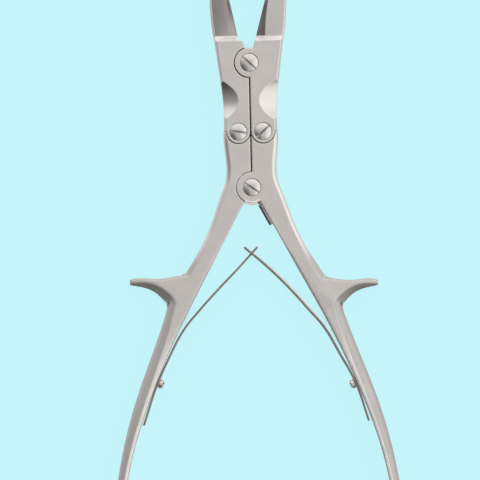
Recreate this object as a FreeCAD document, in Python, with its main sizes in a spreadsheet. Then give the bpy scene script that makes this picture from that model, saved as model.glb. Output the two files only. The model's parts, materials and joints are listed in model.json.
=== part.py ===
import FreeCAD, Part
import os
import re
import Sketcher

# Bone cutting forceps with a double action, lying open on their back.
# Two jaws turn on the front pivot, two handles turn on the rear pivot, and a link
# pivot on each side joins a jaw's forked tail to the tongue on top of its handle.
# The origin is the rear pivot's axis on the back face: +Y points to the jaws,
# +X to the right lever and +Z out of the face that carries the screw heads.
# Left and right levers are alike after a half turn about the middle line.

# Driving dimensions, in millimetres and degrees.
sizes = {
    # places of the pivots, the same distance each side of the middle line
    "frontY": 62.5,
    "linkX": 6.19,
    "linkY": 28,
    # how far the jaws stand open, and how the handles lie
    "jawSwing": 15,
    "handleAngle": 28.2,
    # thicknesses, from face to face
    "jointThickness": 11,
    "tongueThickness": 3.7,
    "edgeBreak": 0.35,
    "crownShare": 0.85,
    # running gaps
    "partingGap": 0.44,
    "lapGap": 0.1,
    "discGap": 0.25,
    "earGap": 0.2,
    "shoulderGap": 0.4,
    "edgeGap": 0.16,
    "pivotGap": 0.05,
    "frontPivotGap": 0.2,
    "seatGap": 0.02,
    "headGap": 0.13,
    "foldMargin": 1.5,
    # round laps
    "frontDisc": 7.5,
    "rearDiscFace": 7.7,
    "rearDiscLap": 8.9,
    # pivot screws
    "shankRadius": 2.5,
    "frontHead": 4.45,
    "rearHead": 4.35,
    "linkHead": 4.25,
    "headSeat": 1.6,
    "headDome": 0.75,
    "headRim": 0.05,
    "headFlat": 0.55,
    "slotWidth": 0.75,
    "slotDepth": 1.1,
    "frontSlotTurn": -43,
    "rearSlotTurn": -35,
    "leftSlotTurn": -8,
    "rightSlotTurn": 43,
    # the jaw block, from its tail to its shoulder
    "tailOuter": 13.45,
    "waistY": 41.5,
    "waistOuter": 13.35,
    "bellyY": 52,
    "bellyOuter": 14.35,
    "pivotOuter": 15.75,
    "shoulderY": 73.5,
    "shoulderOuter": 17.2,
    "blockFlank": 1.1,
    # the blade, from its root to its tip
    "rootY": 75.6,
    "rootOuter": 17.6,
    "rootHalf": 4.1,
    "bladeY": 84.5,
    "bladeOuter": 18.75,
    "bladeHalf": 3.8,
    "broadY": 94,
    "broadOuter": 19.1,
    "broadHalf": 3.3,
    "taperY": 104,
    "taperOuter": 18.75,
    "taperHalf": 2.6,
    "pointY": 113,
    "pointOuter": 17.7,
    "pointHalf": 1.9,
    "tipY": 119.5,
    "tipOuter": 16.75,
    "tipHalf": 1.3,
    "bladeRim": 0.5,
    "bladeFlank": 0.7,
    "cuttingEdge": 0.35,
    "rootBevel": 4.6,
    "tipBevel": 0.9,
    "bevelHigh": 0.62,
    "leftRelief": 1.8,
    # the ground scallop on each side of a jaw block
    "scallopY": 43.6,
    "leftScallopInner": 5.8,
    "rightScallopInner": 4.6,
    "scallopRadius": 20,
    "scallopTilt": 20,
    # the handle's upper block
    "handleTopOuter": 13.55,
    "neckY": 17.5,
    "neckOuter": 13.1,
    "notchY": 9.5,
    "notchOuter": 12.45,
    "rearOuter": 14.25,
    "handleFlank": 2.1,
    # the handle's arm and grip: how far down each station lies below the one before,
    # its width from its inner face, and how much of that is its crowned outer side
    "hipDown": 12,
    "hipWidth": 12,
    "armLong": 14.5,
    "armWidth": 10.2,
    "armFlank": 2.2,
    "spurLong": 16,
    "spurWidth": 11.2,
    "spurFlank": 2.8,
    "palmLong": 16,
    "palmWidth": 11.8,
    "palmFlank": 3.6,
    "gripLong": 20,
    "gripInner": 41.7,
    "gripWidth": 8.5,
    "gripFlank": 4.6,
    "seatLong": 20,
    "seatInner": 50.5,
    "seatWidth": 7.3,
    "seatFlank": 4.9,
    "bendLong": 20,
    "bendInner": 58,
    "bendWidth": 6.3,
    "bendFlank": 4.3,
    "endLong": 31.5,
    "endInner": 66,
    "endWidth": 5,
    "endFlank": 3,
    "endHalf": 3.8,
    "endRound": 1.2,
    "endShoulder": 0.72,
    "endShoulderDrawn": 0.36,
    # the finger spur: its ridge's place, its turn, its reach back to the top edge, its
    # flank and its half thickness; the two sides sit a little unevenly on the real pair
    "rightSpurDown": 1.2,
    "leftSpurDown": -1.4,
    "spurTipX": 62,
    "spurTipRidge": 47.9,
    "spurTipReach": 1.6,
    "spurTipFlank": 1,
    "spurTipHalf": 3.2,
    "spurPointX": 57,
    "spurPointRidge": 47.8,
    "spurPointReach": 2.3,
    "spurPointFlank": 2.1,
    "spurPointHalf": 3.9,
    "spurMidX": 52,
    "spurMidRidge": 48.3,
    "spurMidReach": 2.4,
    "spurMidFlank": 3.2,
    "spurMidHalf": 4.5,
    "spurBodyX": 47,
    "spurBodyRidge": 50.4,
    "spurBodyTurn": 75,
    "spurBodyReach": 4.6,
    "spurBodyFlank": 3.9,
    "spurBodyHalf": 4.75,
    "spurWebX": 42.1,
    "spurWebRidge": 54.3,
    "spurWebTurn": 56,
    "spurWebReach": 11.8,
    "spurWebFlank": 4.2,
    "spurHeelX": 38.6,
    "spurHeelRidge": 61,
    "spurHeelTurn": 15,
    "spurHeelReach": 4,
    "spurHeelFlank": 3.9,
    "spurSunk": 0.04,
    # the stop ledge under the right handle's inner edge, with its bevelled outer part
    "ledgeFrom": 9.3,
    "ledgeLong": 11.5,
    "ledgeFlat": 0.8,
    "ledgeOut": 1.75,
    "ledgeBevel": 1.5,
    "ledgeSunk": 1,
    "ledgeInset": 0.6,
    # leaf springs
    "leafThickness": 1.25,
    "leafHalf": 3.5,
    "leafSeatGap": 0.03,
    "leafTipDown": 29.6,
    "rightTipX": -4.5,
    "leftTipX": -2.2,
    "leafTipSlope": 50,
    "leafUpperDown": 40,
    "leafUpperX": 7.4,
    "leafUpperSlope": 45,
    "leafMiddleDown": 51,
    "leafMiddleX": 18.3,
    "leafLowerDown": 61.3,
    "leafLowerX": 28.1,
    "leafSlope": 43,
    "leafBendDown": 70.5,
    "leafBendX": 35.7,
    "leafBendSlope": 32.5,
    "leafFootUp": 14.5,
    "leafFootStand": 0.4,
    "leafFootSlope": 26,
    "leafEndUp": 0.5,
    "leafEndStand": 1.3,
    "leafEndSlope": 18,
    "rightLeafSlack": 0.8,
    "leftLeafSlack": 0,
    "forkReach": 5,
    "forkHalf": 1.6,
    "forkPlay": 0.25,
    # spring screws
    "springHead": 2.35,
    "springHeadHigh": 2.3,
    "springHeadRound": 0.8,
    "leftSpringUp": 2.2,
    "springShank": 1.5,
    "springShankLong": 5.2,
    "springHoleSpare": 0.4,
    "springSlotWidth": 0.6,
    "springSlotDepth": 0.6,
}

# Sizes worked out from the driving ones, as text for expressions.
half = "(jointThickness / 2)"
tongueHalf = "(tongueThickness / 2)"
halfParting = "(partingGap / 2)"
earRadius = "(linkX - partingGap / 2)"
earRecess = "(linkX - partingGap / 2 + earGap)"
jawCrank = "hypot(linkX; frontY - linkY)"
handleCrank = "hypot(linkX; linkY)"
jawOpen = "atan(linkX / (frontY - linkY))"
handleOpen = "atan(linkX / linkY)"
jawClosed = "(" + jawOpen + " + jawSwing * 1 deg)"
handleClosed = "asin(" + jawCrank + " * sin(" + jawClosed + ") / " + handleCrank + ")"
handleSwing = "(" + handleClosed + " - " + handleOpen + ")"
foldAngle = "(jawSwing * 1 deg + " + handleSwing + " + foldMargin * 1 deg)"
armDown = "(hipDown + armLong)"
spurDown = "(" + armDown + " + spurLong)"
palmDown = "(" + spurDown + " + palmLong)"
gripDown = "(" + palmDown + " + gripLong)"
seatDown = "(" + gripDown + " + seatLong)"
bendDown = "(" + seatDown + " + bendLong)"
endDown = "(" + bendDown + " + endLong)"
seatAngle = "atan((bendInner - gripInner) / (seatLong + bendLong))"

rounded = (90, 45, 0)   # the turns at which a rounded outer face has its corners

doc = FreeCAD.newDocument("forceps")
dims = doc.addObject("Spreadsheet::Sheet", "Dims")


def fillSheet():
    for row, (name, value) in enumerate(sizes.items(), start=1):
        dims.set("A" + str(row), name)
        dims.set("B" + str(row), str(value))
        dims.setAlias("B" + str(row), name)
    doc.recompute()


def expression(text):
    """Point each size's name in a text at its cell in the sheet."""
    def cell(word):
        return "Dims." + word.group() if word.group() in sizes else word.group()
    return re.sub(r"[A-Za-z]+", cell, str(text))


def bind(thing, **properties):
    for name, text in properties.items():
        thing.setExpression(name.replace("_", "."), expression(text))


def value(text):
    """What an expression comes to, as a plain number."""
    result = dims.evalExpression(expression(text))
    return float(getattr(result, "Value", result))


def newBody(name):
    body = doc.addObject("PartDesign::Body", name)
    body.Label = name
    return body


def sketchOn(body, name, role, offset=0, turned=False):
    """A sketch on one of the body's own planes, moved along its normal."""
    sketch = body.newObject("Sketcher::SketchObject", name)
    plane = [feature for feature in body.Origin.OriginFeatures if feature.Role == role][0]
    sketch.AttachmentSupport = (plane, [""])
    sketch.MapMode = "FlatFace"
    if turned:
        halfTurn = FreeCAD.Rotation(FreeCAD.Vector(0, 0, 1), 180)
        sketch.AttachmentOffset = FreeCAD.Placement(FreeCAD.Vector(), halfTurn)
    bind(sketch, AttachmentOffset_Base_z=offset)
    return sketch


def nameConstraint(sketch, constraint, name, text):
    number = sketch.addConstraint(constraint)
    sketch.renameConstraint(number, name)
    sketch.setExpression("Constraints." + name, expression(text))


def closedOutline(sketch, corners):
    """Join corners, given as pairs of texts, by lines."""
    points = [FreeCAD.Vector(value(x), value(y), 0) for x, y in corners]
    count = len(points)
    for edge in range(count):
        sketch.addGeometry(Part.LineSegment(points[edge], points[(edge + 1) % count]), False)
    for edge in range(count):
        sketch.addConstraint(Sketcher.Constraint("Coincident", edge, 2, (edge + 1) % count, 1))
    for edge, (x, y) in enumerate(corners):
        across = Sketcher.Constraint("DistanceX", -1, 1, edge, 1, points[edge].x)
        along = Sketcher.Constraint("DistanceY", -1, 1, edge, 1, points[edge].y)
        nameConstraint(sketch, across, "X" + str(edge), x)
        nameConstraint(sketch, along, "Y" + str(edge), y)


def crownCorners(outer, high, flank, turns):
    """Corners round an outer face, at the given turns of a quarter ellipse from each side."""
    drop = "min(" + flank + "; crownShare * " + high + ")"
    corners = []
    for side, order in (("-1", turns), ("1", turns[::-1])):
        for turn in order:
            x = "{} - {} * (1 - cos({}))".format(outer, flank, turn)
            z = "{} * ({} - {} * (1 - sin({})))".format(side, high, drop, turn)
            corners.append((x, z))
    return corners


def leverSection(sketch, inner, outer, high, flank, turns=(90, 0)):
    """A lever's section: a flat inner face, two flat sides and a bevelled outer face."""
    inner, outer, high, flank = ["(" + str(text) + ")" for text in (inner, outer, high, flank)]
    corners = [
        (inner + " + edgeBreak", high),
        (inner, high + " - edgeBreak"),
        (inner, "-(" + high + " - edgeBreak)"),
        (inner + " + edgeBreak", "-" + high),
    ]
    closedOutline(sketch, corners + crownCorners(outer, high, flank, turns))


def bladeSection(sketch, y, inner, outer, high):
    """A blade's section: a bevelled cutting edge, two sloping faces, two rims and a back."""
    y, inner, outer, high = ["(" + str(text) + ")" for text in (y, inner, outer, high)]
    flank = "(bladeFlank * " + high + " / rootHalf)"
    back = outer + " - " + flank
    rim = back + " - bladeRim * " + high + " / rootHalf"
    share = "((tipY - " + y + ") / (tipY - rootY))^3"
    bevel = inner + " + tipBevel + (rootBevel - tipBevel) * " + share
    upper = [
        (inner, "cuttingEdge / 2"),
        (bevel, "bevelHigh * " + high),
        (rim, high),
        (back, high),
        (outer, high + " - " + flank),
    ]
    lower = [(x, "-(" + z + ")") for x, z in upper]
    closedOutline(sketch, lower + upper[::-1])


def rampSection(sketch, inner, outer, high):
    """The block's own section, with the corners that a blade's section has."""
    inner, outer, high = ["(" + str(text) + ")" for text in (inner, outer, high)]
    back = outer + " - blockFlank"
    rim = back + " - bladeRim"
    upper = [
        (inner, high + " - edgeBreak"),
        (inner + " + rootBevel", high),
        (rim, high),
        (back, high),
        (outer, high + " - blockFlank"),
    ]
    lower = [(x, "-(" + z + ")") for x, z in upper]
    closedOutline(sketch, lower + upper[::-1])


def loftThrough(body, name, sections):
    loft = body.newObject("PartDesign::AdditiveLoft", name)
    loft.Profile = sections[0]
    loft.Sections = sections[1:]
    return loft


def primitive(body, kind, name, place, **properties):
    """A PartDesign primitive at a place given as three texts."""
    shape = body.newObject("PartDesign::" + kind, name)
    x, y, z = place
    bind(shape, Placement_Base_x=x, Placement_Base_y=y, Placement_Base_z=z, **properties)
    return shape


def turnAbout(thing, axis, angle):
    """Turn a thing about an axis; the first angle only sets the axis, and the text then rules."""
    started = FreeCAD.Rotation(FreeCAD.Vector(*axis), 1)
    thing.Placement = FreeCAD.Placement(thing.Placement.Base, started)
    bind(thing, Placement_Rotation_Angle=angle)


def turnAboutZ(thing, angle):
    turnAbout(thing, (0, 0, 1), angle)


def pointAcross(thing, angle):
    """Lay a thing's own Z axis in the plane of the levers, an angle up from +X."""
    halfTurn = FreeCAD.Rotation(FreeCAD.Vector(1, 0, 1), 180)
    thing.Placement = FreeCAD.Placement(thing.Placement.Base, halfTurn)
    bind(thing, Placement_Rotation_Axis_x="cos(" + angle + ")")
    bind(thing, Placement_Rotation_Axis_y="sin(" + angle + ")")
    bind(thing, Placement_Rotation_Axis_z="1")


def placeLever(body, left):
    """Lay a lever on the back face; the left one is turned over to the other side."""
    if left:
        halfTurn = FreeCAD.Rotation(FreeCAD.Vector(0, 1, 0), 180)
        body.Placement = FreeCAD.Placement(FreeCAD.Vector(), halfTurn)
    bind(body, Placement_Base_z=half)


def radial(y):
    """The inner edge of an open jaw, on a line through the front pivot."""
    return "(" + str(y) + " - frontY) * tan(jawSwing) + edgeGap"


def innerFace(down):
    """The straight part of a handle's inner face, a depth below the rear pivot."""
    return "(" + down + " * tan(handleAngle) + " + halfParting + ")"


def armHalf(down):
    """Half the handle's thickness, which tapers evenly from the pivot to the end."""
    return "(" + half + " - " + down + " * (" + half + " - endHalf) / " + endDown + ")"


def seatPoint(left, outwards):
    """Where a spring's screw meets the grip, moved a distance into the grip."""
    up = "leftSpringUp" if left else "0"
    x = "(seatInner - {0} * sin({2}) + {1} * cos({2}))".format(up, outwards, seatAngle)
    y = "(-{3} + {0} * cos({2}) + {1} * sin({2}))".format(up, outwards, seatAngle, seatDown)
    return x, y


def pivotBore(body, name, place, radius, headRadius, left, headed):
    """A through bore, and a counterbore on the face that takes the screw's head."""
    x, y = place
    primitive(body, "SubtractiveCylinder", name + "Bore", (x, y, "-jointThickness"),
              Radius=radius, Height="2 * jointThickness")
    if headed:
        floor = "-jointThickness - " + half + " + headSeat" if left else half + " - headSeat"
        primitive(body, "SubtractiveCylinder", name + "Seat", (x, y, floor),
                  Radius=headRadius + " + headGap", Height="jointThickness")


def jawBlock(body):
    stations = [
        ("tail", "linkY + shoulderGap / 2", "tailOuter"),
        ("waist", "waistY", "waistOuter"),
        ("belly", "bellyY", "bellyOuter"),
        ("pivot", "frontY", "pivotOuter"),
    ]
    sections = []
    for name, y, outer in stations:
        sketch = sketchOn(body, name + "Section", "XZ_Plane", "-(" + y + ")")
        leverSection(sketch, halfParting, outer, half, "blockFlank")
        sections.append(sketch)
    loftThrough(body, "block", sections)
    shoulder = sketchOn(body, "shoulderSection", "XZ_Plane", "-shoulderY")
    leverSection(shoulder, radial("shoulderY"), "shoulderOuter", half, "blockFlank")
    upper = sketchOn(body, "upperSection", "XZ_Plane", "-frontY")
    leverSection(upper, halfParting, "pivotOuter", half, "blockFlank")
    loftThrough(body, "shoulderBlock", [upper, shoulder])


def jawBlade(body, relief):
    """The blade, whose root edge stands back from the radial line by the relief."""
    stations = [
        ("root", "rootY", "rootOuter", "rootHalf"),
        ("blade", "bladeY", "bladeOuter", "bladeHalf"),
        ("broad", "broadY", "broadOuter", "broadHalf"),
        ("taper", "taperY", "taperOuter", "taperHalf"),
        ("point", "pointY", "pointOuter", "pointHalf"),
        ("tip", "tipY", "tipOuter", "tipHalf"),
    ]
    sections = []
    for name, y, outer, high in stations:
        inner = radial(y) + " + " + relief + " * ((tipY - " + y + ") / (tipY - rootY))^2"
        sketch = sketchOn(body, name + "Section", "XZ_Plane", "-" + y)
        bladeSection(sketch, y, inner, outer, high)
        sections.append(sketch)
    loftThrough(body, "blade", sections)
    rootInner = radial("rootY") + " + " + relief
    footInner = radial("shoulderY") if relief == "0" else rootInner
    foot = sketchOn(body, "footSection", "XZ_Plane", "-shoulderY")
    rampSection(foot, footInner, "shoulderOuter", half)
    root = sketchOn(body, "rampSection", "XZ_Plane", "-rootY")
    bladeSection(root, "rootY", rootInner, "rootOuter", "rootHalf")
    loftThrough(body, "shoulderRamp", [foot, root])


def jawScallops(body, inner):
    """A wide grinding wheel's cut on each side of the block, deeper towards the outer edge."""
    for name, side in (("upperScallop", 1), ("lowerScallop", -1)):
        x = inner + " + scallopRadius * sin(scallopTilt) - jointThickness * cos(scallopTilt)"
        z = "{0} * ({1} + scallopRadius * cos(scallopTilt) + jointThickness * sin(scallopTilt))"
        wheel = primitive(body, "SubtractiveCylinder", name, (x, "scallopY", z.format(side, half)),
                          Radius="scallopRadius", Height="3 * jointThickness")
        turnAbout(wheel, (0, 1, 0), "90 + scallopTilt" if side > 0 else "90 - scallopTilt")


def jawLap(body):
    """The round lap on the upper half, and the recess below it for the other jaw's lap."""
    primitive(body, "AdditiveCylinder", "lapDisc", ("0", "frontY", "lapGap / 2"),
              Radius="frontDisc", Height=half + " - lapGap / 2 - edgeBreak")
    bevel = primitive(body, "AdditiveCone", "lapBevel", ("0", "frontY", half + " - edgeBreak"),
                      Radius1="frontDisc", Radius2="frontDisc - edgeBreak", Height="edgeBreak")
    bevel.Angle = 360
    primitive(body, "SubtractiveCylinder", "lapRecess", ("0", "frontY", "lapGap / 2 - jointThickness"),
              Radius="frontDisc + discGap", Height="jointThickness")


def jawFork(body):
    """The forked tail: two round ears, and between them the slot for the handle's tongue."""
    primitive(body, "AdditiveCylinder", "ears", ("linkX", "linkY", "-" + half + " + edgeBreak"),
              Radius=earRadius, Height="jointThickness - 2 * edgeBreak")
    drawnIn = earRadius + " - edgeBreak"
    primitive(body, "AdditiveCone", "upperEar", ("linkX", "linkY", half + " - edgeBreak"),
              Radius1=earRadius, Radius2=drawnIn, Height="edgeBreak")
    primitive(body, "AdditiveCone", "lowerEar", ("linkX", "linkY", "-" + half),
              Radius1=drawnIn, Radius2=earRadius, Height="edgeBreak")
    floor = "-" + tongueHalf + " - lapGap"
    primitive(body, "SubtractiveCylinder", "forkSlot", ("linkX", "linkY", floor),
              Radius=earRecess, Height="tongueThickness + 2 * lapGap")
    x = "linkX - {0} * cos({1}) - 2 * {0} * sin({1})".format(earRecess, foldAngle)
    y = "linkY + {0} * sin({1}) - 2 * {0} * cos({1})".format(earRecess, foldAngle)
    sweep = primitive(body, "SubtractiveBox", "forkSweep", (x, y, floor), Length=earRecess,
                      Width="2 * " + earRecess, Height="tongueThickness + 2 * lapGap")
    turnAboutZ(sweep, "-" + foldAngle)


def makeJaw(name, left):
    body = newBody(name)
    jawBlock(body)
    jawBlade(body, "leftRelief" if left else "0")
    jawScallops(body, "leftScallopInner" if left else "rightScallopInner")
    jawFork(body)
    jawLap(body)
    frontBore = "shankRadius + " + ("seatGap" if left else "frontPivotGap")
    pivotBore(body, "front", ("0", "frontY"), frontBore, "frontHead", left, not left)
    pivotBore(body, "link", ("linkX", "linkY"), "shankRadius + seatGap", "linkHead", left, True)
    placeLever(body, left)
    return body


def handleBlock(body):
    stations = [
        ("rear", "0", "rearOuter"),
        ("notch", "notchY", "notchOuter"),
        ("neck", "neckY", "neckOuter"),
        ("top", "linkY - shoulderGap / 2", "handleTopOuter"),
    ]
    sections = []
    for name, y, outer in stations:
        sketch = sketchOn(body, name + "Section", "XZ_Plane", "-(" + y + ")")
        leverSection(sketch, halfParting, outer, half, "handleFlank", rounded)
        sections.append(sketch)
    loftThrough(body, "block", sections)


def handleArm(body):
    """The arm, lofted down its straight inner face to the palm, and the grip below it."""
    pivot = ("pivot", "0", halfParting, "rearOuter - " + halfParting, "handleFlank")
    hip = ("hip", "hipDown", innerFace("hipDown"), "hipWidth", "handleFlank")
    arm = ("arm", armDown, innerFace(armDown), "armWidth", "armFlank")
    spur = ("spur", spurDown, innerFace(spurDown), "spurWidth", "spurFlank")
    palm = ("palm", palmDown, innerFace(palmDown), "palmWidth", "palmFlank")
    grip = ("grip", gripDown, "gripInner", "gripWidth", "gripFlank")
    seat = ("seat", seatDown, "seatInner", "seatWidth", "seatFlank")
    bend = ("bend", bendDown, "bendInner", "bendWidth", "bendFlank")
    end = ("end", endDown, "endInner", "endWidth", "endFlank")
    lofts = [
        ("grip", (palm, grip, seat, bend, end)),
        ("arm", (pivot, hip, arm, spur, palm)),
    ]
    for loft, stations in lofts:
        sections = []
        for name, down, inner, width, flank in stations:
            sketch = sketchOn(body, loft + name + "Section", "XZ_Plane", down)
            leverSection(sketch, inner, inner + " + " + width, armHalf(down), flank, rounded)
            sections.append(sketch)
        loftThrough(body, loft, sections)


def handleSpur(body, shift):
    """The finger spur, whose sections fan round from its tip to the grip along its ridge."""
    webHalf = armHalf("(spurWebRidge + spurWebFlank)") + " - spurSunk"
    heelHalf = armHalf("(spurHeelRidge + spurHeelFlank)") + " - spurSunk"
    stations = [
        ("spurTip", "90", "spurTipHalf"),
        ("spurPoint", "90", "spurPointHalf"),
        ("spurMid", "90", "spurMidHalf"),
        ("spurBody", "spurBodyTurn", "spurBodyHalf"),
        ("spurWeb", "spurWebTurn", webHalf),
        ("spurHeel", "spurHeelTurn", heelHalf),
    ]
    sections = []
    for name, turn, high in stations:
        down = name + "Ridge + " + shift
        sketch = sketchOn(body, name + "Section", "XZ_Plane", down)
        started = FreeCAD.Rotation(FreeCAD.Vector(0, -1, 0), 1)
        sketch.AttachmentOffset = FreeCAD.Placement(sketch.AttachmentOffset.Base, started)
        bind(sketch, AttachmentOffset_Base_x=name + "X", AttachmentOffset_Rotation_Angle=turn)
        leverSection(sketch, "-" + name + "Reach", name + "Flank", high, name + "Flank")
        sections.append(sketch)
    loftThrough(body, "spur", sections)


def handleLap(body):
    """The round lap on the upper half, coned so that it keeps down the other handle."""
    primitive(body, "AdditiveCone", "lapDisc", ("0", "0", "lapGap / 2"),
              Radius1="rearDiscLap", Radius2="rearDiscFace", Height=half + " - lapGap / 2")
    primitive(body, "SubtractiveCone", "lapRecess", ("0", "0", "-" + half),
              Radius1="rearDiscFace + discGap", Radius2="rearDiscLap + discGap",
              Height=half + " + lapGap / 2")


def handleTongue(body):
    """The tongue in the middle third, and the recesses above and below it for the ears."""
    primitive(body, "AdditiveCylinder", "tongue", ("linkX", "linkY", "-" + tongueHalf),
              Radius=earRadius, Height="tongueThickness")
    x = "linkX - {0} * cos({1})".format(earRecess, foldAngle)
    y = "linkY - {0} * sin({1})".format(earRecess, foldAngle)
    for name, floor in (("upper", tongueHalf), ("lower", "-" + tongueHalf + " - jointThickness")):
        primitive(body, "SubtractiveCylinder", name + "EarRecess", ("linkX", "linkY", floor),
                  Radius=earRecess, Height="jointThickness")
        sweep = primitive(body, "SubtractiveBox", name + "EarSweep", (x, y, floor), Length=earRecess,
                          Width="2 * " + earRecess, Height="jointThickness")
        turnAboutZ(sweep, foldAngle)


def handleLedge(body):
    """The stop ledge, on the inner face below the rear pivot, in the lower half only."""
    floor = "-" + half + " + ledgeInset"
    high = half + " - 2 * ledgeInset"
    for name, out, tall in (("Flat", "ledgeFlat", high), ("Foot", "ledgeOut", high + " - ledgeBevel")):
        x = halfParting + " + ledgeFrom * sin(handleAngle) - " + out + " * cos(handleAngle)"
        y = "-ledgeFrom * cos(handleAngle) - " + out + " * sin(handleAngle)"
        ledge = primitive(body, "AdditiveBox", "ledge" + name, (x, y, floor),
                          Length="ledgeLong", Width=out + " + ledgeSunk", Height=tall)
        turnAboutZ(ledge, "handleAngle - 90")


def springHole(body, left):
    """The tapped hole for the spring's screw, square to the grip's inner face."""
    x, y = seatPoint(left, "-leafThickness")
    hole = primitive(body, "SubtractiveCylinder", "springHole", (x, y, "0"),
                     Radius="springShank + seatGap",
                     Height="leafThickness + springShankLong + springHoleSpare")
    pointAcross(hole, seatAngle)


def roundEnd(body):
    """Round the end of the grip in two steps that draw in on every side."""
    sections = []
    steps = [
        ("End", "0", "0"),
        ("Shoulder", "endShoulder", "endShoulderDrawn"),
        ("Cap", "endRound", "endRound"),
    ]
    for name, along, drawn in steps:
        sketch = sketchOn(body, "grip" + name, "XZ_Plane", endDown + " + " + along)
        leverSection(sketch, "endInner + " + drawn, "endInner + endWidth - " + drawn,
                     "endHalf - " + drawn, "endFlank - " + drawn, rounded)
        sections.append(sketch)
    cap = loftThrough(body, "endCap", sections)
    cap.Ruled = True


def makeHandle(name, left):
    body = newBody(name)
    handleArm(body)
    roundEnd(body)
    handleBlock(body)
    handleSpur(body, "leftSpurDown" if left else "rightSpurDown")
    handleTongue(body)
    handleLap(body)
    if not left:
        handleLedge(body)
    rearBore = "shankRadius + " + ("seatGap" if left else "pivotGap")
    pivotBore(body, "rear", ("0", "0"), rearBore, "rearHead", left, not left)
    pivotBore(body, "link", ("linkX", "linkY"), "shankRadius + pivotGap", "linkHead", left, False)
    springHole(body, left)
    placeLever(body, left)
    return body


def makePivotScrew(name, place, headRadius, slotTurn):
    """A slotted screw with a low stepped dome in its seat, and a shank through both halves."""
    body = newBody(name)
    sketch = sketchOn(body, "profile", "XZ_Plane")
    corners = [
        ("0", "-jointThickness"),
        ("shankRadius", "-jointThickness"),
        ("shankRadius", "-headSeat"),
        (headRadius, "-headSeat"),
        (headRadius, "headRim"),
        ("headFlat * " + headRadius, "headDome"),
        ("0", "headDome"),
    ]
    closedOutline(sketch, corners)
    turned = body.newObject("PartDesign::Revolution", "turned")
    turned.Profile = sketch
    turned.ReferenceAxis = (sketch, ["V_Axis"])
    turned.Angle = 360
    slotCorner = ("-2 * " + headRadius, "-slotWidth / 2", "headDome - slotDepth")
    primitive(body, "SubtractiveBox", "slot", slotCorner, Length="4 * " + headRadius,
              Width="slotWidth", Height="2 * slotDepth")
    x, y = place
    bind(body, Placement_Base_x=x, Placement_Base_y=y, Placement_Base_z="jointThickness")
    turnAboutZ(body, slotTurn)
    return body


def leafStations(tipX, slack):
    """The leaf's middle line: how far down, how far across, and its slope from the middle line."""
    footFace = "seatInner - leafFootUp / seatLong * (seatInner - gripInner)"
    footDown = "(" + seatDown + " - leafFootUp)"
    endPlace = "(" + bendDown + " - leafEndUp)"
    onSeat = "(leafSeatGap + leafThickness / 2 / cos(" + seatAngle + "))"
    tip = ("tip", "leafTipDown", tipX, "leafTipSlope")
    upper = ("upper", "leafUpperDown", "leafUpperX", "leafUpperSlope")
    middle = ("middle", "leafMiddleDown", "leafMiddleX", "leafSlope")
    lower = ("lower", "leafLowerDown", "leafLowerX - " + slack, "leafSlope")
    bend = ("bend", "leafBendDown", "leafBendX - " + slack, "leafBendSlope")
    foot = ("foot", footDown, footFace + " - leafFootStand - leafThickness / 2 - " + slack,
            "leafFootSlope")
    seat = ("seat", seatDown, "seatInner - " + onSeat, seatAngle)
    end = ("end", endPlace, "bendInner - leafEndStand - leafThickness / 2", "leafEndSlope")
    return ("free", (tip, upper, middle, lower, bend, foot)), ("fixed", (foot, seat, end))


def makeLeafSpring(name, left):
    """A flat leaf from its screw on the grip up to the middle, where the two interlock."""
    body = newBody(name)
    tipX, slack = ("leftTipX", "leftLeafSlack") if left else ("rightTipX", "rightLeafSlack")
    for loft, stations in leafStations(tipX, slack):
        sections = []
        for station, down, across, slope in stations:
            sketch = sketchOn(body, loft + station + "Section", "XZ_Plane", down)
            reach = "(leafThickness / 2 / cos(" + slope + "))"
            corners = [
                (across + " - " + reach, "-leafHalf"),
                (across + " + " + reach, "-leafHalf"),
                (across + " + " + reach, "leafHalf"),
                (across + " - " + reach, "leafHalf"),
            ]
            closedOutline(sketch, corners)
            sections.append(sketch)
        loftThrough(body, loft, sections)
    cuts = [("fork", "-forkHalf", "2 * forkHalf")]
    if left:
        cuts = [
            ("upper", "forkHalf - forkPlay", "2 * leafHalf"),
            ("lower", "-2 * leafHalf - forkHalf + forkPlay", "2 * leafHalf"),
        ]
    for cut, floor, high in cuts:
        primitive(body, "SubtractiveBox", cut + "Notch", ("-4 * forkReach", "-leafLowerDown", floor),
                  Length="5 * forkReach", Width="leafLowerDown", Height=high)
    x, y = seatPoint(left, "-springShankLong")
    hole = primitive(body, "SubtractiveCylinder", "screwHole", (x, y, "0"),
                     Radius="springShank + pivotGap", Height="2 * springShankLong")
    pointAcross(hole, seatAngle)
    placeLever(body, left)
    return body


def makeSpringScrew(name, left):
    """A small slotted screw, square to the grip, whose head holds the leaf."""
    body = newBody(name)
    sketch = sketchOn(body, "profile", "XZ_Plane")
    corners = [
        ("0", "-springHeadHigh"),
        ("springHead - springHeadRound", "-springHeadHigh"),
        ("springHead", "springHeadRound - springHeadHigh"),
        ("springHead", "0"),
        ("springShank", "0"),
        ("springShank", "springShankLong"),
        ("0", "springShankLong"),
    ]
    closedOutline(sketch, corners)
    turned = body.newObject("PartDesign::Revolution", "turned")
    turned.Profile = sketch
    turned.ReferenceAxis = (sketch, ["V_Axis"])
    turned.Angle = 360
    primitive(body, "SubtractiveBox", "slot",
              ("-2 * springHead", "-springSlotWidth / 2", "-springHeadHigh - springSlotDepth"),
              Length="4 * springHead", Width="springSlotWidth", Height="2 * springSlotDepth")
    stand = "(leafThickness + 3 * leafSeatGap)"
    x, y = seatPoint(left, "-" + stand)
    if left:
        x = "-" + x
    bind(body, Placement_Base_x=x, Placement_Base_y=y, Placement_Base_z=half)
    angle = "(180 deg - " + seatAngle + ")" if left else seatAngle
    pointAcross(body, angle)
    return body


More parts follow.
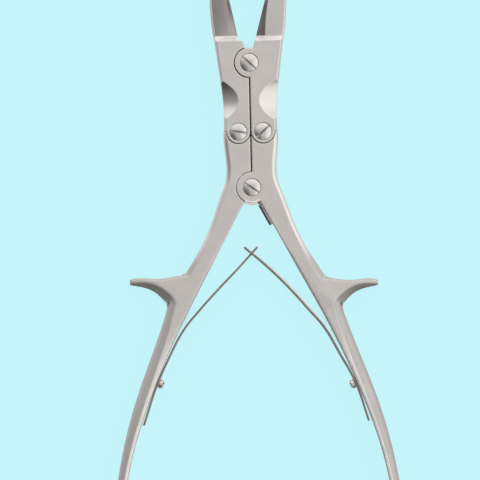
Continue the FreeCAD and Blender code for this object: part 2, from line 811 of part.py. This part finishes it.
def checkAndExport(bodies):
    doc.recompute()
    for thing in doc.Objects:
        if "Invalid" in thing.State or "Error" in thing.State:
            raise RuntimeError("failed feature: " + thing.Name + " " + str(thing.State))
    os.makedirs("parts", exist_ok=True)
    for body in bodies:
        shape = body.Shape
        if shape.isNull() or not shape.isValid() or len(shape.Solids) != 1:
            raise RuntimeError("bad shape: " + body.Label)
        shape.exportStep(os.path.join("parts", body.Label + ".step"))
        box = shape.BoundBox
        print(body.Label, "volume %.1f" % shape.Volume, "x %.1f %.1f" % (box.XMin, box.XMax),
              "y %.1f %.1f" % (box.YMin, box.YMax), "z %.1f %.1f" % (box.ZMin, box.ZMax))


fillSheet()
parts = []
for side, left in (("right", False), ("left", True)):
    parts.append(makeHandle(side + "_handle", left))
    parts.append(makeJaw(side + "_jaw", left))
    parts.append(makeLeafSpring(side + "_leaf_spring", left))
    parts.append(makeSpringScrew(side + "_spring_screw", left))
parts.append(makePivotScrew("front_pivot_screw", ("0", "frontY"), "frontHead", "frontSlotTurn"))
parts.append(makePivotScrew("rear_pivot_screw", ("0", "0"), "rearHead", "rearSlotTurn"))
parts.append(makePivotScrew("left_link_screw", ("-linkX", "linkY"), "linkHead", "leftSlotTurn"))
parts.append(makePivotScrew("right_link_screw", ("linkX", "linkY"), "linkHead", "rightSlotTurn"))
checkAndExport(parts)
print("handles turn %.4f degrees on each other" % (2 * value(handleSwing)))
print("jaw and handle fold %.4f degrees" % (value(foldAngle) - value("foldMargin")))
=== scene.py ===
import json
import math

import bmesh
import bpy
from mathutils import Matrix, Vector
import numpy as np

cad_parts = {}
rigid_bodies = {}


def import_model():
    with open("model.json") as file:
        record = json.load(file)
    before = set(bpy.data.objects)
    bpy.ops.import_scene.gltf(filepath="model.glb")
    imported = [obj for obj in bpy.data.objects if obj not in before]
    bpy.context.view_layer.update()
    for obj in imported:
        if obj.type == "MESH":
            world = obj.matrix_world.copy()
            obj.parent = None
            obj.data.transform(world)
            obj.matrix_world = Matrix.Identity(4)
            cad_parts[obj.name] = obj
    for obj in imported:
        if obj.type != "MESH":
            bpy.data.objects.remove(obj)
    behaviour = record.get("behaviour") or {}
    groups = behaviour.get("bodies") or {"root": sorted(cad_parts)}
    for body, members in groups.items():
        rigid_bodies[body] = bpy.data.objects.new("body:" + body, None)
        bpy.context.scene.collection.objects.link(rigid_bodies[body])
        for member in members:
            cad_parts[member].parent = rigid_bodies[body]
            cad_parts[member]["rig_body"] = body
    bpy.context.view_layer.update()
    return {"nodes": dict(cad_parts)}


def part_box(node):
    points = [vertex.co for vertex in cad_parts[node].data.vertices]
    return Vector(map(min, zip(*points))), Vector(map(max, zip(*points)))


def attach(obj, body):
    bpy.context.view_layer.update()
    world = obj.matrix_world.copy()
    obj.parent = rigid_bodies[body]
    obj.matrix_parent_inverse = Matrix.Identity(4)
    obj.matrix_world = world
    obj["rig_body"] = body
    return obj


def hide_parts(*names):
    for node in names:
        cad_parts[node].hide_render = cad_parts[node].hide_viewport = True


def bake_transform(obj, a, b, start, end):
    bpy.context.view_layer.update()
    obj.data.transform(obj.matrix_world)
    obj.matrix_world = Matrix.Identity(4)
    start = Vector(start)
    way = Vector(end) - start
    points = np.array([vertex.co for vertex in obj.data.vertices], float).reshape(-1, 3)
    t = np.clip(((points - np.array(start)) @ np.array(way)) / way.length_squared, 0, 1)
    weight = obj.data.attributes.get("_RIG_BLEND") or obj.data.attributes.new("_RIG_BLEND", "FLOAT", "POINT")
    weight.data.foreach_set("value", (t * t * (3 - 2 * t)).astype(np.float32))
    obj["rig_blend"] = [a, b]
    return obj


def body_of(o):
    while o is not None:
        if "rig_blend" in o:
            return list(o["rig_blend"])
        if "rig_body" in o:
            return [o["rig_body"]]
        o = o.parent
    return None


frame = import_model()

# Bone cutting forceps on a pale floor, seen from straight above. The levers are the CAD
# solids. The pivot and link screws, the two leaf springs and the small webs at the hooks are
# modelled here. X and Y start at the rear pivot, the jaws point along Y, and Z is up.

mm = 0.001
print("frame loaded")


def deselectAll():
    if bpy.context.mode != "OBJECT":
        bpy.ops.object.mode_set(mode="OBJECT")
    bpy.ops.object.select_all(action="DESELECT")


def takeUp(piece):
    deselectAll()
    piece.select_set(True)
    bpy.context.view_layer.objects.active = piece


def settle(piece):
    takeUp(piece)
    bpy.ops.object.transform_apply(location=True, rotation=True, scale=True)


def applyModifier(piece, kind, **settings):
    takeUp(piece)
    modifier = piece.modifiers.new(kind.lower(), kind)
    for name, value in settings.items():
        setattr(modifier, name, value)
    bpy.ops.object.modifier_apply(modifier=modifier.name)


def smooth(piece, degrees):
    takeUp(piece)
    bpy.ops.object.shade_smooth_by_angle(angle=math.radians(degrees))


def addBox(name, low, high):
    deselectAll()
    bpy.ops.mesh.primitive_cube_add(size=1, location=(Vector(low) + Vector(high)) / 2)
    piece = bpy.context.object
    piece.name = name
    piece.scale = Vector(high) - Vector(low)
    settle(piece)
    return piece


def addCylinder(sides, radius, depth, centre):
    deselectAll()
    bpy.ops.mesh.primitive_cylinder_add(vertices=sides, radius=radius, depth=depth,
                                        location=centre)
    return bpy.context.object


def cutAway(piece, cutter):
    applyModifier(piece, "BOOLEAN", operation="DIFFERENCE", object=cutter, solver="EXACT")
    bpy.data.objects.remove(cutter)


def dress(piece, material):
    piece.data.materials.clear()
    piece.data.materials.append(material)


def newMaterial(name):
    material = bpy.data.materials.new(name)
    material.use_nodes = True
    return material, material.node_tree, material.node_tree.nodes["Principled BSDF"]


def addNode(tree, kind, **settings):
    node = tree.nodes.new("ShaderNode" + kind)
    for name, value in settings.items():
        setattr(node, name, value)
    return node


def plug(tree, socket, source):
    if isinstance(source, bpy.types.NodeSocket):
        tree.links.new(source, socket)
    else:
        socket.default_value = source


def fade(tree, source, start, end, low=0, high=1):
    node = addNode(tree, "MapRange", interpolation_type="SMOOTHSTEP")
    plug(tree, node.inputs["Value"], source)
    plug(tree, node.inputs["From Min"], start)
    plug(tree, node.inputs["From Max"], end)
    plug(tree, node.inputs["To Min"], low)
    plug(tree, node.inputs["To Max"], high)
    return node.outputs[0]


def reckon(tree, operation, first, second=0):
    node = addNode(tree, "Math", operation=operation)
    plug(tree, node.inputs[0], first)
    plug(tree, node.inputs[1], second)
    return node.outputs[0]


def blendColour(tree, share, first, second):
    node = addNode(tree, "Mix", data_type="RGBA")
    plug(tree, node.inputs["Factor"], share)
    plug(tree, node.inputs["A"], first)
    plug(tree, node.inputs["B"], second)
    return node.outputs["Result"]


def addNoise(tree, place, scale, detail):
    node = addNode(tree, "TexNoise")
    node.inputs["Scale"].default_value = scale
    node.inputs["Detail"].default_value = detail
    tree.links.new(place, node.inputs["Vector"])
    return node.outputs["Fac"]


def roundNormal(tree, radius, samples):
    node = addNode(tree, "Bevel", samples=samples)
    plug(tree, node.inputs["Radius"], radius)
    return node.outputs["Normal"]


# Three looks of one steel. The flats are ground, everything else is polished.
leverSteel = {
    "forged": True,
    "flatColor": (0.56, 0.537, 0.518, 1),
    "flatRough": 0.42,
    "polishColor": (0.58, 0.56, 0.545, 1),
    "polishRough": 0.24,
    "edgeRound": 0.75 * mm,
    "gripRound": 2.6 * mm,
    "grimeReach": 0.9 * mm,
}
screwSteel = {
    "forged": False,
    "flatColor": (0.56, 0.54, 0.525, 1),
    "flatRough": 0.16,
    "polishColor": (0.56, 0.54, 0.525, 1),
    "polishRough": 0.12,
    "edgeRound": 0.12 * mm,
    "gripRound": 0.12 * mm,
    "grimeReach": 2.4 * mm,
}
springSteel = {
    "forged": False,
    "flatColor": (0.19, 0.168, 0.155, 1),
    "flatRough": 0.3,
    "polishColor": (0.62, 0.59, 0.57, 1),
    "polishRough": 0.2,
    "edgeRound": 0.25 * mm,
    "gripRound": 0.25 * mm,
    "grimeReach": 0.6 * mm,
}
finish = {
    "flatFrom": 0.96,    # how level a face is where it starts to count as ground flat
    "flatTo": 0.997,
    "gripFrom": -24 * mm,
    "gripTo": -40 * mm,
    "gripRough": 0.5,
    "roundSamples": 8,
    "grainSize": 1500,
    "grainDetail": 4,
    "grainBump": 0.05,
    "grainDeep": 0.2 * mm,
    "cloudSize": 110,
    "cloudDetail": 3,
    "cloudFrom": 0.35,
    "cloudTo": 0.65,
    "cloudTint": 0.12,
    "cloudTone": (0.4, 0.37, 0.35, 1),
    "cloudRough": 0.06,
    # colour of the painted shade in slots, rings and the parting line
    "grime": (0.035, 0.028, 0.025, 1),
    "grimeFrom": 0.3,
    "grimeTo": 0.75,
    "grimeSamples": 8,
    # painted highlight along the rounded edges
    "worn": 0.45 * mm,
    "wornFrom": 0.99,    # how far the rounded normal leans from the face's own one
    "wornTo": 0.8,
    "wornShare": 0.25,
    "wornTone": (0.82, 0.8, 0.78, 1),
    "wornSamples": 16,
}

# The areas of a forged lever whose tone is painted light or shade, laid one over another: painted
# highlights, shades and reflections. Each lies
# within limits: a reading, its value where the area starts and its value where that is full.
flat = ("level", finish["flatFrom"], finish["flatTo"])
flank = ("level", finish["flatTo"], finish["flatFrom"])
ledge = (("z", 5.6 * mm, 5.2 * mm), ("y", -22 * mm, -21 * mm), flat)
blade = ("y", 75.9 * mm, 76.3 * mm)
areas = {
    # painted shade on the sloping flanks of the grips
    "gripFlank": {
        "within": (("y", finish["gripFrom"], finish["gripTo"]), flank),
        "tone": (0.44, 0.424, 0.41, 1),
    },
    # painted highlight along the crown of the grips
    "gripCrown": {
        "within": (("y", -62 * mm, -95 * mm), ("level", 0.94, 0.995)),
        "tone": (0.74, 0.72, 0.7, 1),
    },
    "hookUnderside": {   # painted shade under the hook, darkest right below its ridge
        "within": (("faceY", -0.25, -0.5), ("y", -36 * mm, -42 * mm), ("y", -72 * mm, -60 * mm)),
        "tone": (0.56, 0.54, 0.52, 1),
        "into": (0.4, 0.385, 0.37, 1),
        "along": ("faceZ", 0.2, 0.6),
    },
    "stopLedge": {   # painted highlight on its upper step
        "within": ledge,
        "tone": (0.8, 0.78, 0.76, 1),
    },
    # painted shade along the lower foot of the ledge
    "ledgeFoot": {
        "within": ledge + (("z", 4.3 * mm, 4 * mm),),
        "tone": (0.07, 0.06, 0.055, 1),
    },
    # painted highlight on the rounded lower rim of the rear lap
    "rearLapRim": {
        "within": (("fromPivot", 6.6 * mm, 6.9 * mm), ("fromMiddle", 3.9 * mm, 3.6 * mm),
                   ("y", -5 * mm, -5.2 * mm), ("y", -9.2 * mm, -9 * mm)),
        "tone": (0.8, 0.78, 0.76, 1),
    },
    # painted highlight on the ramp, which is also made rougher
    "bladeRamp": {
        "within": (("y", 72.8 * mm, 73.2 * mm), ("faceY", 0.3, 0.5)),
        "tone": (0.8, 0.78, 0.76, 1),
        "rough": 0.6,
    },
    "hollowFace": {   # painted reflection of the dark side of the room
        "within": (blade, ("x", 1 * mm, -1 * mm), ("faceX", 0.04, 0.15)),
        "tone": (0.165, 0.156, 0.15, 1),
        "into": (0.27, 0.255, 0.245, 1),
        "along": ("x", -17 * mm, -8 * mm),
    },
    # painted shade on the cutting bevel, which faces the dark side of the room
    "cuttingBevel": {
        "within": (blade, ("x", -1 * mm, 1 * mm), ("faceX", -0.22, -0.4)),
        "tone": (0.15, 0.143, 0.137, 1),
    },
}


def takeReadings(tree, place):
    where = addNode(tree, "SeparateXYZ")
    tree.links.new(place.outputs["Object"], where.inputs[0])
    facing = addNode(tree, "SeparateXYZ")
    tree.links.new(place.outputs["Normal"], facing.inputs[0])
    x, y, z = where.outputs
    squares = reckon(tree, "ADD", reckon(tree, "MULTIPLY", x, x), reckon(tree, "MULTIPLY", y, y))
    return {
        "x": x,
        "y": y,
        "z": z,
        "fromMiddle": reckon(tree, "ABSOLUTE", x),
        "fromPivot": reckon(tree, "SQRT", squares),
        "faceX": facing.outputs["X"],
        "faceY": facing.outputs["Y"],
        "faceZ": facing.outputs["Z"],
        "level": reckon(tree, "ABSOLUTE", facing.outputs["Z"]),
    }


def limit(tree, readings, name, start, end):
    return fade(tree, readings[name], start, end)


# paints the painted highlights and shades of the areas into the colour
def layAreas(tree, readings, colour, rough):
    for area in areas.values():
        share = 1
        for bound in area["within"]:
            share = reckon(tree, "MULTIPLY", share, limit(tree, readings, *bound))
        tone = area["tone"]
        if "into" in area:
            tone = blendColour(tree, limit(tree, readings, *area["along"]), tone, area["into"])
        colour = blendColour(tree, share, colour, tone)
        if "rough" in area:
            rough = reckon(tree, "MAXIMUM", rough, reckon(tree, "MULTIPLY", share, area["rough"]))
    return colour, rough


# painted highlight: lightens the colour along edges, where the rounded normal leans from the face's own one
def paintRimHighlights(tree, colour):
    lean = addNode(tree, "VectorMath", operation="DOT_PRODUCT")
    shape = addNode(tree, "NewGeometry")
    rim = roundNormal(tree, finish["worn"], finish["wornSamples"])
    tree.links.new(rim, lean.inputs[0])
    tree.links.new(shape.outputs["Normal"], lean.inputs[1])
    worn = fade(tree, lean.outputs["Value"], finish["wornFrom"], finish["wornTo"],
                0, finish["wornShare"])
    return blendColour(tree, worn, colour, finish["wornTone"])


def makeSteel(name, look):
    material, tree, shader = newMaterial(name)
    place = addNode(tree, "TexCoord")
    readings = takeReadings(tree, place)
    ground = limit(tree, readings, *flat)
    grip = fade(tree, readings["y"], finish["gripFrom"], finish["gripTo"])
    colour = blendColour(tree, ground, look["polishColor"], look["flatColor"])
    rough = fade(tree, ground, 0, 1, look["polishRough"], look["flatRough"])
    if look["forged"]:
        gripRough = reckon(tree, "MULTIPLY", grip, finish["gripRough"])
        rough = reckon(tree, "MAXIMUM", rough, gripRough)
        colour, rough = layAreas(tree, readings, colour, rough)
        colour = paintRimHighlights(tree, colour)

    # painted shade: ambient occlusion darkens the colour in slots, rings and the parting line
    corners = addNode(tree, "AmbientOcclusion", samples=finish["grimeSamples"])
    corners.inputs["Distance"].default_value = look["grimeReach"]
    unshaded = fade(tree, corners.outputs["AO"], finish["grimeFrom"], finish["grimeTo"])
    if look["forged"]:   # the painted shade is kept to the joint, the grips get none
        unshaded = reckon(tree, "MAXIMUM", unshaded, grip)
    colour = blendColour(tree, unshaded, finish["grime"], colour)

    # satin cloudiness on top
    cloud = addNoise(tree, place.outputs["Object"], finish["cloudSize"], finish["cloudDetail"])
    veil = fade(tree, cloud, finish["cloudFrom"], finish["cloudTo"], 0, finish["cloudTint"])
    colour = blendColour(tree, veil, colour, finish["cloudTone"])
    spread = reckon(tree, "MULTIPLY", cloud, finish["cloudRough"])

    # the grips are forged round, the joint has only broken edges
    radius = fade(tree, readings["y"], finish["gripFrom"], finish["gripTo"],
                  look["edgeRound"], look["gripRound"])
    bump = addNode(tree, "Bump")
    bump.inputs["Strength"].default_value = finish["grainBump"]
    bump.inputs["Distance"].default_value = finish["grainDeep"]
    grain = addNoise(tree, place.outputs["Object"], finish["grainSize"], finish["grainDetail"])
    tree.links.new(grain, bump.inputs["Height"])
    tree.links.new(roundNormal(tree, radius, finish["roundSamples"]), bump.inputs["Normal"])

    tree.links.new(colour, shader.inputs["Base Color"])
    tree.links.new(reckon(tree, "ADD", rough, spread), shader.inputs["Roughness"])
    tree.links.new(bump.outputs["Normal"], shader.inputs["Normal"])
    shader.inputs["Metallic"].default_value = 1
    return material


satin = makeSteel("satinSteel", leverSteel)
bright = makeSteel("screwSteel", screwSteel)
sprung = makeSteel("springSteel", springSteel)
for name, node in frame["nodes"].items():
    for slot in node.material_slots:
        slot.material = bright if "screw" in name else sprung if "spring" in name else satin
print("steel on every piece")


screw = {
    "turns": {   # how far each slot is turned, in degrees
        "front_pivot_screw": -43,
        "rear_pivot_screw": -35,
        "left_link_screw": -8,
        "right_link_screw": 43,
    },
    "sides": 64,
    "shankSides": 48,
    "shank": 2.5 * mm,
    "seat": 1.6 * mm,
    "rise": 0.75 * mm,
    "slotWidth": 0.95 * mm,
    "slotDeep": 1.05 * mm,
    "rings": (0.96, 0.9, 0.8, 0.68, 0.54, 0.38, 0.2),
    "upward": 0.9,
    "smoothTo": 32,
}


def domeTop(piece, radius, rise):
    takeUp(piece)
    bpy.ops.object.mode_set(mode="EDIT")
    bpy.ops.mesh.select_all(action="DESELECT")
    mesh = bmesh.from_edit_mesh(piece.data)
    for face in mesh.faces:
        face.select = face.normal.z > screw["upward"]
    bmesh.update_edit_mesh(piece.data)
    before, height = 1.0, 0.0
    for share in screw["rings"]:
        reached = rise * (1 - share ** 2)
        bpy.ops.mesh.inset(thickness=radius * (before - share), depth=reached - height)
        before, height = share, reached
    bpy.ops.object.mode_set(mode="OBJECT")


def makeScrew(node, turn):
    low, high = [Vector(corner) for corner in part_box(node)]
    centre = (low + high) / 2
    radius = (high.x - low.x) / 2
    face = high.z - screw["rise"]
    head = addCylinder(screw["sides"], radius, screw["seat"],
                       (centre.x, centre.y, face - screw["seat"] / 2))
    settle(head)
    domeTop(head, radius, screw["rise"])
    cutter = addBox("slotCutter",
                    (-2 * radius, -screw["slotWidth"] / 2, high.z - screw["slotDeep"]),
                    (2 * radius, screw["slotWidth"] / 2, high.z + radius))
    cutter.rotation_euler.z = math.radians(turn)
    cutter.location = (centre.x, centre.y, 0)
    settle(cutter)
    cutAway(head, cutter)
    length = face - screw["seat"] - low.z
    shank = addCylinder(screw["shankSides"], screw["shank"], length,
                        (centre.x, centre.y, low.z + length / 2))
    settle(shank)
    takeUp(head)
    shank.select_set(True)
    bpy.ops.object.join()
    smooth(head, screw["smoothTo"])
    head.name = node.replace("_", " ").title().replace(" ", "")
    dress(head, bright)
    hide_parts(node)
    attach(head, body_of(frame["nodes"][node])[0])


for node, turn in screw["turns"].items():
    makeScrew(node, turn)
print("screws modelled")


leaf = {
    # the middle line in mm, from the tip to the lower end: across from the middle, and down
    # from the rear pivot
    "route": ((3.9, 29.7), (-7.4, 40), (-18.3, 51), (-27.9, 61.3), (-35.6, 70.5), (-43.1, 84),
              (-49.8, 98.5), (-56.1, 117.9)),
    # the right leaf stands a little slack off its grip, the left one lies on it
    "slack": {"right": (0.6, 0, 0, 0.7, 0.8, 0.8, 0, 0), "left": (-1.7, 0, 0, 0, 0, 0, 0, -0.5)},
    "twist": {"right": (0, 4, 4.5, 4.5, 4, 2, 0, 0), "left": (0, 0, 0, 0, 0, 0, 0, 0)},
    "steps": 20,
    "thick": 1.15 * mm,
    "half": 3.45 * mm,    # half of the leaf's width
    "fork": 1.6 * mm,     # half of the right tip's gap
    "tongue": 1.35 * mm,  # half of the left tip's tongue
    "reach": 5.2 * mm,    # how far past the middle the tips are cut
    "cutBack": 30 * mm,
    "cutLow": -50 * mm,
    "cutHigh": -20 * mm,
    "edge": 0.22 * mm,
    "edgeSteps": 2,
    "edgeFrom": 50,
    "smoothTo": 35,
    "foot": (43.1 * mm, -84 * mm),
    "cross": (0, -34 * mm),
}


def makeLeaf(side):
    node = side + "_leaf_spring"
    low, high = [Vector(corner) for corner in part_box(node)]
    middle = (low.z + high.z) / 2
    sign = 1 if side == "left" else -1
    deselectAll()
    bpy.ops.curve.primitive_bezier_curve_add(radius=1, location=(0, 0, 0))
    piece = bpy.context.object
    piece.name = side + "LeafSpring"
    line = piece.data.splines[0]
    line.bezier_points.add(len(leaf["route"]) - 2)
    stations = zip(line.bezier_points, leaf["route"], leaf["slack"][side], leaf["twist"][side])
    for point, (across, down), slack, twist in stations:
        point.tilt = math.radians(twist)
        point.co = (sign * (across + slack) * mm, -down * mm, middle)
        point.handle_left_type = point.handle_right_type = "AUTO"
    piece.data.dimensions = "3D"
    piece.data.twist_mode = "Z_UP"
    piece.data.resolution_u = leaf["steps"]
    piece.data.extrude = leaf["half"]
    bpy.ops.object.convert(target="MESH")
    applyModifier(piece, "SOLIDIFY", thickness=leaf["thick"], offset=0, use_even_offset=True)
    past = 4 * leaf["half"]
    cuts = [(-leaf["fork"], leaf["fork"])]
    if side == "left":
        cuts = [(leaf["tongue"], past), (-past, -leaf["tongue"])]
    left, right = sorted((-sign * leaf["cutBack"], sign * leaf["reach"]))
    for start, end in cuts:
        cutter = addBox("forkCutter", (left, leaf["cutLow"], middle + start),
                        (right, leaf["cutHigh"], middle + end))
        cutAway(piece, cutter)
    applyModifier(piece, "BEVEL", width=leaf["edge"], segments=leaf["edgeSteps"],
                  limit_method="ANGLE", angle_limit=math.radians(leaf["edgeFrom"]))
    smooth(piece, leaf["smoothTo"])
    dress(piece, sprung)
    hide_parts(node)
    # the crossing stays on the middle line: it lies half way from its own grip to the other
    footAcross, footDown = leaf["foot"]
    foot = Vector((-sign * footAcross, footDown, middle))
    cross = Vector((*leaf["cross"], middle))
    other = "right" if side == "left" else "left"
    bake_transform(piece, side + "_handle_side", other + "_handle_side", foot, foot + 2 * (cross - foot))


makeLeaf("right")
makeLeaf("left")
print("leaf springs modelled")


# The smooth webs in the corners of the forged levers: between an arm and the top of its hook,
# and in the palm between the hook and the grip. A corner has its handle, its place in mm, the
# way out of it and how wide it opens, in degrees.
webs = {
    "Arm": {
        "corners": (("left", (-34.2, -43.7), (-0.546, 0.838), 121.7),
                    ("right", (34.5, -45.8), (0.546, 0.838), 122)),
        "radius": 10 * mm,
        "low": 3 * mm,
        "high": 9.7 * mm,
        "lean": 7,     # the arm's end lies lower, in degrees
        "dip": 0,
        "soft": 0.9 * mm,
    },
    "Palm": {
        "corners": (("left", (-42.7, -57.3), (-0.968, -0.249), 116),
                    ("right", (43.4, -59.1), (0.979, -0.205), 121)),
        "radius": 7 * mm,
        "low": 3.9 * mm,
        "high": 7.1 * mm,
        "lean": 0,
        "dip": 14,     # the outer side lies lower, in degrees
        "soft": 0.7 * mm,
    },
}
webMake = {
    "inward": -1.2 * mm,
    "sides": 128,
    "cutterLong": 40 * mm,
    "softSteps": 3,
    "softFrom": 50,
    "smoothTo": 40,
}


def makeWeb(place, side, corner, outward, opening):
    web = webs[place]
    half = math.radians(opening / 2)
    sign = 1 if outward[0] > 0 else -1
    out = Vector((*outward, 0))
    spot = Vector((*corner, 0)) * mm
    halfWide = web["radius"] * math.cos(half)
    piece = addBox(side + place + "Web", (webMake["inward"], -halfWide, web["low"]),
                   (halfWide / math.tan(half), halfWide, web["high"]))
    piece.rotation_euler = (math.radians(-sign * web["lean"]), math.radians(web["dip"]),
                            math.atan2(out.y, out.x))
    piece.location = spot
    settle(piece)
    cutter = addCylinder(webMake["sides"], web["radius"], webMake["cutterLong"],
                         spot + out * web["radius"] / math.sin(half))
    cutAway(piece, cutter)
    applyModifier(piece, "BEVEL", width=web["soft"], segments=webMake["softSteps"],
                  limit_method="ANGLE", angle_limit=math.radians(webMake["softFrom"]))
    smooth(piece, webMake["smoothTo"])
    dress(piece, satin)
    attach(piece, side + "_handle_side")


for place, web in webs.items():
    for corner in web["corners"]:
        makeWeb(place, *corner)
print("webs modelled")


studio = {
    "floorSize": 6,
    "floorDrop": -0.1 * mm,
    "floorColor": (0.04, 0.06, 0.065, 1),
    "floorRough": 0.9,
    "floorShine": 0.1,
    "floorGlow": (0.522, 0.852, 0.9, 1),
    "glowReach": 16 * mm,
    "glowFrom": 0.06,
    "glowTo": 0.2,
    "glowSamples": 16,
    "worldColor": (1.0, 0.985, 0.975, 1),
    "surround": 0.88,
    # soft panels and flags: the side that each hangs on, where it fades in and is full, its gain
    "panels": [
        ((0.74, -0.22, 0.62), 0.72, 0.92, 0.6),
        ((-0.73, -0.38, 0.6), 0.7, 0.93, -0.48),
        ((0, 1, 0), 0.05, 0.6, 0.5),
        ((0, -1, 0), 0.3, 0.9, -0.5),
        ((-0.42, -0.42, 0.8), 0.91, 0.99, -0.18),
        ((0.42, 0.42, 0.8), 0.91, 0.99, 0.12),
    ],
    "lens": 400,
    "sensor": 36,
    "field": 0.24,   # what the picture spans at the joint, in metres
    "aim": (-0.0065, -0.0261, 0.011),
    "roll": -1.25,
    "nearest": 0.1,
    "farthest": 20,
}


def makeFloor():
    deselectAll()
    bpy.ops.mesh.primitive_plane_add(size=studio["floorSize"],
                                     location=(0, 0, studio["floorDrop"]))
    floor = bpy.context.object
    floor.name = "floor"
    settle(floor)
    material, tree, shader = newMaterial("paleFloor")
    shader.inputs["Base Color"].default_value = studio["floorColor"]
    shader.inputs["Roughness"].default_value = studio["floorRough"]
    shader.inputs["Specular IOR Level"].default_value = studio["floorShine"]
    shader.inputs["Emission Color"].default_value = studio["floorGlow"]
    # painted shadow: the glow dies away where the floor sees next to nothing of the room, under and right
    # beside the forceps
    seen = addNode(tree, "AmbientOcclusion", samples=studio["glowSamples"])
    seen.inputs["Distance"].default_value = studio["glowReach"]
    lit = fade(tree, seen.outputs["AO"], studio["glowFrom"], studio["glowTo"])
    tree.links.new(lit, shader.inputs["Emission Strength"])
    floor.data.materials.append(material)
    floor.visible_glossy = False


def makeWorld():
    world = bpy.data.worlds.new("studio")
    world.use_nodes = True
    tree = world.node_tree
    place = addNode(tree, "TexCoord")
    total = studio["surround"]
    for towards, start, end, gain in studio["panels"]:
        facing = addNode(tree, "VectorMath", operation="DOT_PRODUCT")
        facing.inputs[1].default_value = Vector(towards).normalized()
        tree.links.new(place.outputs["Generated"], facing.inputs[0])
        panel = fade(tree, facing.outputs["Value"], start, end, 0, gain)
        total = reckon(tree, "ADD", total, panel)
    background = tree.nodes["Background"]
    background.inputs["Color"].default_value = studio["worldColor"]
    tree.links.new(total, background.inputs["Strength"])
    bpy.context.scene.world = world
    bpy.context.scene.view_settings.view_transform = "Standard"


def makeCamera():
    lens = bpy.data.cameras.new("camera")
    lens.lens = studio["lens"]
    lens.sensor_width = studio["sensor"]
    lens.clip_start = studio["nearest"]
    lens.clip_end = studio["farthest"]
    height = studio["field"] * studio["lens"] / studio["sensor"]
    camera = bpy.data.objects.new("camera", lens)
    bpy.context.scene.collection.objects.link(camera)
    camera.location = Vector(studio["aim"]) + Vector((0, 0, height))
    camera.rotation_euler = (0, 0, math.radians(studio["roll"]))
    bpy.context.scene.camera = camera


makeFloor()
makeWorld()
makeCamera()
print("studio set")
